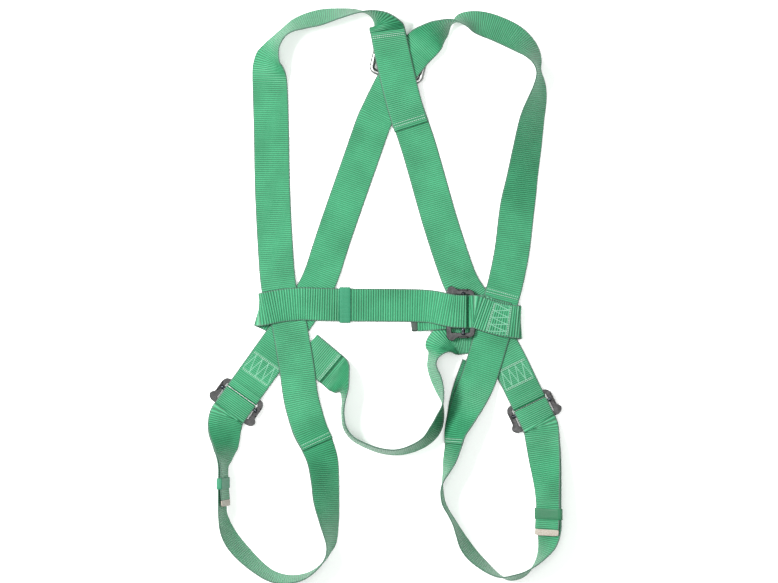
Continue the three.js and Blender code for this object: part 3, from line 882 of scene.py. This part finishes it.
def bound_material(name, light, dark):
    """The melted and bound end of a strap."""
    n = Nodes(name)
    colour = n.mix(n.ramp(n.noise(700, 4), 0.35, 0.65), dark, light)
    n.link(colour, n.shader.inputs["Base Color"])
    n.link(n.bump(n.noise(1800, 3), 0.0002, 0.5), n.shader.inputs["Normal"])
    n.set(Roughness=0.6)
    return n.material


# ---- hardware -----------------------------------------------------------------------------------


def buckle_matrix(name):
    """From a buckle's own frame, in millimetres, to the object's frame."""
    x, y, heading, lift, aside = BUCKLES[name]
    place = Matrix.Translation(Vector((x, y, lift)) + ORIGIN_SHIFT)
    turn = Matrix.Rotation(math.radians(heading), 4, "Z")
    return place @ turn @ Matrix.Translation((0, aside, 0))


def rounded(points, radius, steps=4):
    """A closed outline with each corner rounded by an arc that starts radius from it."""
    result = []
    count = len(points)
    for i, corner in enumerate(points):
        before = Vector(points[i - 1])
        here = Vector(corner)
        after = Vector(points[(i + 1) % count])
        size = min(radius, (before - here).length * 0.48, (after - here).length * 0.48)
        a = here + (before - here).normalized() * size
        b = here + (after - here).normalized() * size
        for k in range(steps + 1):
            t = k / steps
            result.append(a.lerp(here, t).lerp(here.lerp(b, t), t))
    return result


def plate(work, outline, hole, low, high):
    """A plate between two outlines of equal count, from height low to height high."""
    rings = []
    for height in (low, high):
        for ring in (outline, hole):
            rings.append([work.verts.new((p[0], p[1], height)) for p in ring])
    outer_low, inner_low, outer_high, inner_high = rings
    count = len(outer_low)
    for i in range(count):
        j = (i + 1) % count
        work.faces.new((outer_low[i], outer_low[j], outer_high[j], outer_high[i]))
        work.faces.new((inner_high[i], inner_high[j], inner_low[j], inner_low[i]))
        work.faces.new((outer_high[i], outer_high[j], inner_high[j], inner_high[i]))
        work.faces.new((inner_low[i], inner_low[j], outer_low[j], outer_low[i]))


def block(work, low, high, slope=0.0):
    """A box whose top is shorter along X by slope at each end."""
    corners = []
    for z, cut in ((low[2], 0), (high[2], slope)):
        for x, y in ((low[0] + cut, low[1]), (high[0] - cut, low[1]),
                     (high[0] - cut, high[1]), (low[0] + cut, high[1])):
            corners.append(work.verts.new((x, y, z)))
    for quad in ((3, 2, 1, 0), (4, 5, 6, 7), (0, 1, 5, 4), (1, 2, 6, 5), (2, 3, 7, 6), (3, 0, 4, 7)):
        work.faces.new([corners[i] for i in quad])


def resampled(outline, count):
    """Points at an even spacing round a closed outline, starting where it meets +X."""
    points = [Vector(p[:2]) for p in outline]
    closed = points + [points[0]]
    lengths = [(closed[i + 1] - closed[i]).length for i in range(len(points))]
    total = sum(lengths)
    result = []
    for k in range(count):
        goal = total * k / count
        i = 0
        while goal > lengths[i] and i < len(lengths) - 1:
            goal -= lengths[i]
            i += 1
        result.append(closed[i].lerp(closed[i + 1], goal / lengths[i]))
    angles = [abs(math.atan2(p.y, p.x)) for p in result]
    start = angles.index(min(angles))
    return result[start:] + result[:start]


def frame_outline():
    """The buckle plate's outer edge: the free end's corners flare out."""
    half = BUCKLE_LENGTH / 2
    side = BUCKLE_WIDTH / 2 - EAR_FLARE
    quarter = [
        (-half, side - 7), (-half + 2, side - 2.5), (-half + 7, side), (half - 12, side),
        (half - 9, side + EAR_FLARE - 0.6), (half - 6, side + EAR_FLARE),
        (half - 2.5, side + EAR_FLARE - 2), (half, side - 2),
    ]
    mirrored = [(x, -y) for x, y in reversed(quarter)]
    return list(reversed(quarter + mirrored))


def add_frame(name, material):
    """A pressed steel buckle frame with upturned side rails and softened edges."""
    half = BUCKLE_LENGTH / 2
    reach = half - CROSS_BAR
    wide = BUCKLE_WINDOW / 2
    window = [(reach, -wide), (reach, wide), (-reach, wide), (-reach, -wide)]
    count = 96
    work = bmesh.new()
    plate(work, resampled(rounded(frame_outline(), 1.6), count),
          resampled(rounded(window, 1.4), count), 0, FRAME_THICKNESS)
    outer = BUCKLE_WIDTH / 2 - EAR_FLARE
    for sign in (-1, 1):
        low = min(sign * outer, sign * (outer - 2))
        block(work, (-10, low, FRAME_THICKNESS - 0.4), (4, low + 2, RAIL_HEIGHT), 1.6)
    bmesh.ops.recalc_face_normals(work, faces=work.faces)
    work.transform(buckle_matrix(name))
    work.transform(Matrix.Scale(MM, 4))
    mesh = bpy.data.meshes.new(f"{name}_pressed_frame")
    work.to_mesh(mesh)
    work.free()
    piece = new_object(f"{name}_pressed_frame", mesh, material)
    soften(piece, 0.55)
    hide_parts(f"{name}_frame")


def soften(piece, width):
    """A small bevel on every sharp edge."""
    bevel = piece.modifiers.new("soft edges", "BEVEL")
    bevel.width = width * MM
    bevel.segments = 3
    bevel.limit_method = "ANGLE"
    bevel.angle_limit = math.radians(35)
    bevel.harden_normals = True


def turned(name, stages, sides, matrix, scale_y):
    """A solid of revolution about Z from (height, radius) stages, closed at both ends."""
    points = []
    for height, radius in stages:
        for k in range(sides):
            angle = 2 * math.pi * k / sides
            flat = (radius * math.cos(angle), radius * math.sin(angle) * scale_y, height)
            points.append(matrix @ Vector(flat))
    mesh = mesh_of(name, points, capped_faces(len(stages), sides))
    facing_out(mesh)
    return mesh


def add_slide_bar(name, body, material):
    """The sliding bar: round ends, and grooves along its middle that grip the webbing."""
    half = SLIDE_BAR_LENGTH / 2
    radius = SLIDE_BAR_WIDTH / 2
    stages = [(-half, radius * 0.6), (-half + 0.8, radius * 0.95), (-half + 1.6, radius)]
    grooves = 22
    reach = half - 4
    for i in range(grooves + 1):
        z = -reach + 2 * reach * i / grooves
        stages += [(z - 0.5, radius), (z, radius - 0.3), (z + 0.5, radius)]
    stages += [(half - 1.6, radius), (half - 0.8, radius * 0.95), (half, radius * 0.6)]
    middle = FRAME_THICKNESS + CLEARANCE + SLIDE_BAR_THICKNESS / 2
    place = buckle_matrix(name) @ Matrix.Translation((-SLIDE_BAR_PLACE, 0, middle))
    upright = Matrix(((1, 0, 0, 0), (0, 0, 1, 0), (0, 1, 0, 0), (0, 0, 0, 1)))
    mesh = turned(f"{name}_grooved_bar", stages, 16, place @ upright,
                  SLIDE_BAR_THICKNESS / SLIDE_BAR_WIDTH)
    piece = new_object(f"{name}_grooved_bar", mesh, material, body)
    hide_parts(f"{name}_bar")


def ring_path():
    """The middle of the D-ring's rod: its bar lies along X at y = 0."""
    half = RING_WIDTH / 2 - RING_ROD / 2
    corner = RING_CORNER
    top = RING_HEIGHT - RING_ROD
    path = []
    for i in range(9):
        path.append((-half + corner + (2 * half - 2 * corner) * i / 8, 0))
    for a in range(-80, 0, 16):
        t = math.radians(a)
        path.append((half - corner + corner * math.cos(t), corner + corner * math.sin(t)))
    for i in range(4):
        path.append((half, corner + (RING_SHOULDER - corner) * i / 4))
    for a in range(0, 181, 6):
        t = math.radians(a)
        path.append((half * math.cos(t), RING_SHOULDER + (top - RING_SHOULDER) * math.sin(t)))
    for i in range(1, 5):
        path.append((-half, RING_SHOULDER - (RING_SHOULDER - corner) * i / 4))
    for a in range(196, 270, 16):
        t = math.radians(a)
        path.append((-half + corner + corner * math.cos(t), corner + corner * math.sin(t)))
    return [Vector((x, y, RING_ROD / 2)) for x, y in path]


def add_ring(material):
    """The forged dorsal D-ring, a round rod bent and welded shut."""
    sides = 16
    path = ring_path()
    place = Matrix.Translation(RING_PLACE + ORIGIN_SHIFT)
    place = place @ Matrix.Rotation(math.radians(RING_TURN), 4, "Z")
    place = place @ Matrix.Rotation(math.radians(-RING_TILT), 4, "X")
    points = []
    count = len(path)
    for i, here in enumerate(path):
        tangent = (path[(i + 1) % count] - path[i - 1]).normalized()
        side = Vector((tangent.y, -tangent.x, 0))
        for k in range(sides):
            angle = 2 * math.pi * k / sides
            ray = side * math.cos(angle) + Vector((0, 0, 1)) * math.sin(angle)
            points.append(place @ (here + ray * RING_ROD / 2))
    faces = []
    for i in range(count):
        a = i * sides
        b = ((i + 1) % count) * sides
        for k in range(sides):
            j = (k + 1) % sides
            faces.append([a + k, a + j, b + j, b + k])
    mesh = mesh_of("dorsal_forged_ring", points, faces)
    facing_out(mesh)
    piece = new_object("dorsal_forged_ring", mesh, material, "dorsal_ring")
    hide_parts("dorsal_d_ring")


def band_outline(width, opening, wall, steps=6):
    """A flat oval loop: the section of a keeper, as inner and outer outlines."""
    outlines = []
    for grow in (0, wall):
        half = width / 2 + grow
        high = opening / 2 + grow
        corner = high * 0.85
        outline = []
        for cx, cy, start in ((half - corner, high - corner, 0), (-half + corner, high - corner, 90),
                              (-half + corner, -high + corner, 180), (half - corner, -high + corner, 270)):
            for k in range(steps + 1):
                t = math.radians(start + 90 * k / steps)
                outline.append((cx + corner * math.cos(t), cy + corner * math.sin(t)))
        outlines.append(outline)
    return outlines


def add_keeper(node, body, place, heading, lean, width, opening, material):
    """An elastic band round the webbing, with soft edges."""
    inner, outer = band_outline(width - KEEPER_EASE, opening - KEEPER_EASE, KEEPER_WALL)
    h = math.radians(heading)
    tilt = math.radians(lean)
    across = Vector((math.cos(h) * math.cos(tilt), math.sin(h) * math.cos(tilt), math.sin(tilt)))
    along = Vector((-math.sin(h), math.cos(h), 0))
    through = along.cross(across)
    middle = Vector(place) + ORIGIN_SHIFT
    half = KEEPER_LENGTH / 2
    # The wall's section along the strap: how far out through the wall, and where along.
    profile = [(1, -half + 0.5), (0.7, -half), (0.3, -half), (0, -half + 0.5),
               (0, half - 0.5), (0.3, half), (0.7, half), (1, half - 0.5)]
    profile += [(1, half * s) for s in (0.5, 0, -0.5)]
    count = len(inner)
    points = []
    uvs = []
    girth = 0
    for i in range(count):
        if i:
            girth += (Vector(outer[i]) - Vector(outer[i - 1])).length
        for depth, spot in profile:
            u = inner[i][0] + (outer[i][0] - inner[i][0]) * depth
            v = inner[i][1] + (outer[i][1] - inner[i][1]) * depth
            points.append(middle + across * u + through * v + along * spot)
            uvs.append((girth * MM, spot * MM))
    faces = []
    size = len(profile)
    for i in range(count):
        j = (i + 1) % count
        for k in range(size):
            m = (k + 1) % size
            faces.append([i * size + k, i * size + m, j * size + m, j * size + k])
    mesh = mesh_of(f"{node}_band", points, faces)
    layer = mesh.uv_layers.new(name="cloth")
    for loop in mesh.loops:
        layer.data[loop.index].uv = uvs[loop.vertex_index]
    facing_out(mesh)
    piece = new_object(f"{node}_band", mesh, material, body)
    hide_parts(node)


def add_tip(node, route, material):
    """The bound tip of a tail, rounded all over."""
    start, across, through = route.frame(route.last)
    before = route.middle(route.last - 0.02)
    along = (start - before).normalized()
    half = route.width / 2
    lengths = [CLEARANCE - 0.2, CLEARANCE + 0.5, TIP_LENGTH - 0.8, TIP_LENGTH]
    swells = [0.9, 1.06, 1.02, 0.7]
    points = []
    section = webbing_section(route.width - 0.6)
    for length, swell in zip(lengths, swells):
        for u, v in section:
            points.append(start + along * length + across * u * min(1, swell) + through * v * swell)
    mesh = mesh_of(f"{node}_bound", points, capped_faces(len(lengths), len(section)))
    facing_out(mesh)
    piece = new_object(f"{node}_bound", mesh, material)
    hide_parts(node)


# ---- stage --------------------------------------------------------------------------------------

# Metres and watts. The floor lies just under the object.
FLOOR_DROP = 0.0005
FLOOR_GLOW = 0.16
WORLD_STRENGTH = 0.42
CAMERA_HEIGHT = 6.0
VIEW_WIDTH = 0.988
VIEW_MIDDLE = (0.0049, 0.0047)
SENSOR_WIDTH = 36
LIGHTS = {
    "key": ((-1.3, 0.5, 2.1), 0.7, 108),
    "overhead": ((0.3, -0.2, 2.6), 1.4, 40),
}


def add_floor():
    """A plain pale floor that stays near white under the soft light."""
    mesh = mesh_of("floor", [(-4000, -4000, 0), (4000, -4000, 0), (4000, 4000, 0), (-4000, 4000, 0)],
                   [[0, 1, 2, 3]])
    n = Nodes("pale floor")
    n.set(Base_Color=(0.93, 0.94, 0.93, 1), Roughness=0.9, Emission_Color=(1, 1, 1, 1),
          Emission_Strength=FLOOR_GLOW, Specular_IOR_Level=0.1)
    floor = bpy.data.objects.new("floor", mesh)
    mesh.materials.append(n.material)
    bpy.context.scene.collection.objects.link(floor)
    floor.location.z = -FLOOR_DROP


def add_light(name, place, size, energy):
    """A soft square light aimed at the middle of the object."""
    data = bpy.data.lights.new(name, "AREA")
    data.size = size
    data.energy = energy
    lamp = bpy.data.objects.new(name, data)
    lamp.location = place
    lamp.rotation_euler = (-Vector(place)).to_track_quat("-Z", "Y").to_euler()
    bpy.context.scene.collection.objects.link(lamp)


def add_camera():
    """Straight down through a long lens; the picture is VIEW_WIDTH wide at the floor."""
    data = bpy.data.cameras.new("camera")
    data.sensor_width = SENSOR_WIDTH
    data.lens = SENSOR_WIDTH * CAMERA_HEIGHT / VIEW_WIDTH
    camera = bpy.data.objects.new("camera", data)
    camera.location = (*VIEW_MIDDLE, CAMERA_HEIGHT)
    bpy.context.scene.collection.objects.link(camera)
    bpy.context.scene.camera = camera


def add_world():
    world = bpy.data.worlds.new("soft studio")
    world.use_nodes = True
    background = world.node_tree.nodes["Background"]
    background.inputs[0].default_value = (1, 1, 1, 1)
    background.inputs[1].default_value = WORLD_STRENGTH
    bpy.context.scene.world = world
    bpy.context.scene.view_settings.view_transform = "Standard"


# ---- the harness --------------------------------------------------------------------------------

add_camera()
add_world()
add_floor()
for name, (place, size, energy) in LIGHTS.items():
    add_light(name, place, size, energy)

plain_webbing = webbing_material("green webbing", WEB_WIDTH, 0.0025, 0.0006)
chest_webbing = webbing_material("green chest webbing", NARROW_WIDTH, 0.0031, 0.0011)
# The second colour of each elastic is its painted shade colour, for the rib grooves and folds.
elastic = webbing_material("green elastic", 200, 0.0016, 0.0004, linear(74, 186, 142), linear(24, 132, 86))
# A copy of the keeper elastic with painted shade: darker colours for the right keeper, whose strap leans away
# from the light.
shaded_elastic_copy = webbing_material("painted shade elastic", 200, 0.0016, 0.0004, linear(40, 160, 104), linear(12, 96, 58))
thread = thread_material("stitching thread", linear(226, 250, 236), linear(176, 232, 202))
fine_thread = thread_material("box stitching thread", linear(168, 236, 202), linear(120, 214, 168))
black = black_steel_material()
bar_steel = bar_steel_material()

routes = {
    "main_strap_left": Route(MAIN_LEFT, WEB_WIDTH),
    "main_strap_right": Route(MAIN_RIGHT, WEB_WIDTH),
    "dorsal_sleeve": Route(DORSAL_SLEEVE, WEB_WIDTH),
    "chest_strap": Route(CHEST_STRAP, NARROW_WIDTH),
    "chest_loop": Route(CHEST_LOOP, NARROW_WIDTH),
    "seat_strap": Route(SEAT_STRAP, WEB_WIDTH),
    "seat_anchor": Route(SEAT_ANCHOR, WEB_WIDTH),
    "thigh_strap_left": Route(THIGH_LEFT, WEB_WIDTH),
    "thigh_strap_right": Route(THIGH_RIGHT, WEB_WIDTH),
}
for node, route in routes.items():
    narrow = route.width == NARROW_WIDTH
    add_webbing(node, route, chest_webbing if narrow else plain_webbing)

main_left = routes["main_strap_left"]
main_right = routes["main_strap_right"]
sleeve = routes["dorsal_sleeve"]
loop = routes["chest_loop"]

# Each seam's strap, and the places along it where a row of stitches crosses.
seams = {
    "seam_dorsal_top": (sleeve, (0.34, 0.52)),
    "seam_dorsal_bottom": (sleeve, (6.34, 6.58)),
    "seam_front_right": (main_right, (9.02, 9.22)),
    "seam_thigh_left": (main_left, (0.15, 0.35)),
    "seam_thigh_right": (main_right, (0.15, 0.35)),
    "seam_seat": (routes["seat_anchor"], (0.88, 0.93)),
}
for node, (route, places) in seams.items():
    rows = rows_across(route, places, SEAM_HALF, STITCH_PITCH)
    add_stitching(node.replace("seam", "stitches"), rows, thread, node, THREAD_RADIUS)

# Each stitched box's strap, its ends along that strap and half its width.
hip_top = FRAME_LIFT + FRAME_THICKNESS / 2 - FOLD_RADIUS - WEB_THICKNESS / 2 + LAYER_PITCH
boxes = {"seam_chest_loop": (loop, 6.3, 8.1, CHEST_BOX_HALF)}
for node, buckle in (("seam_hip_left", LEFT_HIP), ("seam_hip_right", RIGHT_HIP)):
    ends = [on_buckle(buckle, place, hip_top, 1) for place in (HIP_BOX_START, HIP_BOX_END)]
    patch = Route(ends, WEB_WIDTH)
    boxes[node] = (patch, 0.0, 1.0, HIP_BOX_HALF)
for node, box in boxes.items():
    name = node.replace("seam", "stitches")
    add_stitching(name, box_rows(*box), thread, node, THREAD_RADIUS)
    add_stitching(f"{name}_filling", box_filling(*box), fine_thread, node, FINE_THREAD_RADIUS)

bar_bodies = {LEFT_HIP: "left_slide_bar", RIGHT_HIP: "right_slide_bar", CHEST: "chest_slide_bar"}
for name, body in bar_bodies.items():
    add_frame(name, black)
    add_slide_bar(name, body, bar_steel)
add_ring(zinc_material())

add_keeper("chest_keeper", "chest_keeper_band", (-53.4, -12.7, 4.2), 90, 0,
           NARROW_WIDTH + KEEPER_PLAY, CHEST_KEEPER_OPENING, elastic)
add_keeper("thigh_keeper_left", "left_keeper_band", (-207.2, -238, 25.1), -180, -101,
           WEB_WIDTH + KEEPER_PLAY, THIGH_KEEPER_OPENING, elastic)
# The right keeper gets the painted-shade copy of the elastic.
add_keeper("thigh_keeper_right", "right_keeper_band", (204.4, -277, 21.8), 180, 130,
           WEB_WIDTH + KEEPER_PLAY, THIGH_KEEPER_OPENING, shaded_elastic_copy)

dark_bound = bound_material("dark bound end", linear(40, 78, 58), linear(14, 26, 20))
pale_bound = bound_material("pale bound end", linear(226, 216, 204), linear(190, 176, 160))
add_tip("chest_tail_tip", routes["chest_strap"], dark_bound)
add_tip("thigh_tail_tip_left", routes["thigh_strap_left"], pale_bound)
add_tip("thigh_tail_tip_right", routes["thigh_strap_right"], pale_bound)
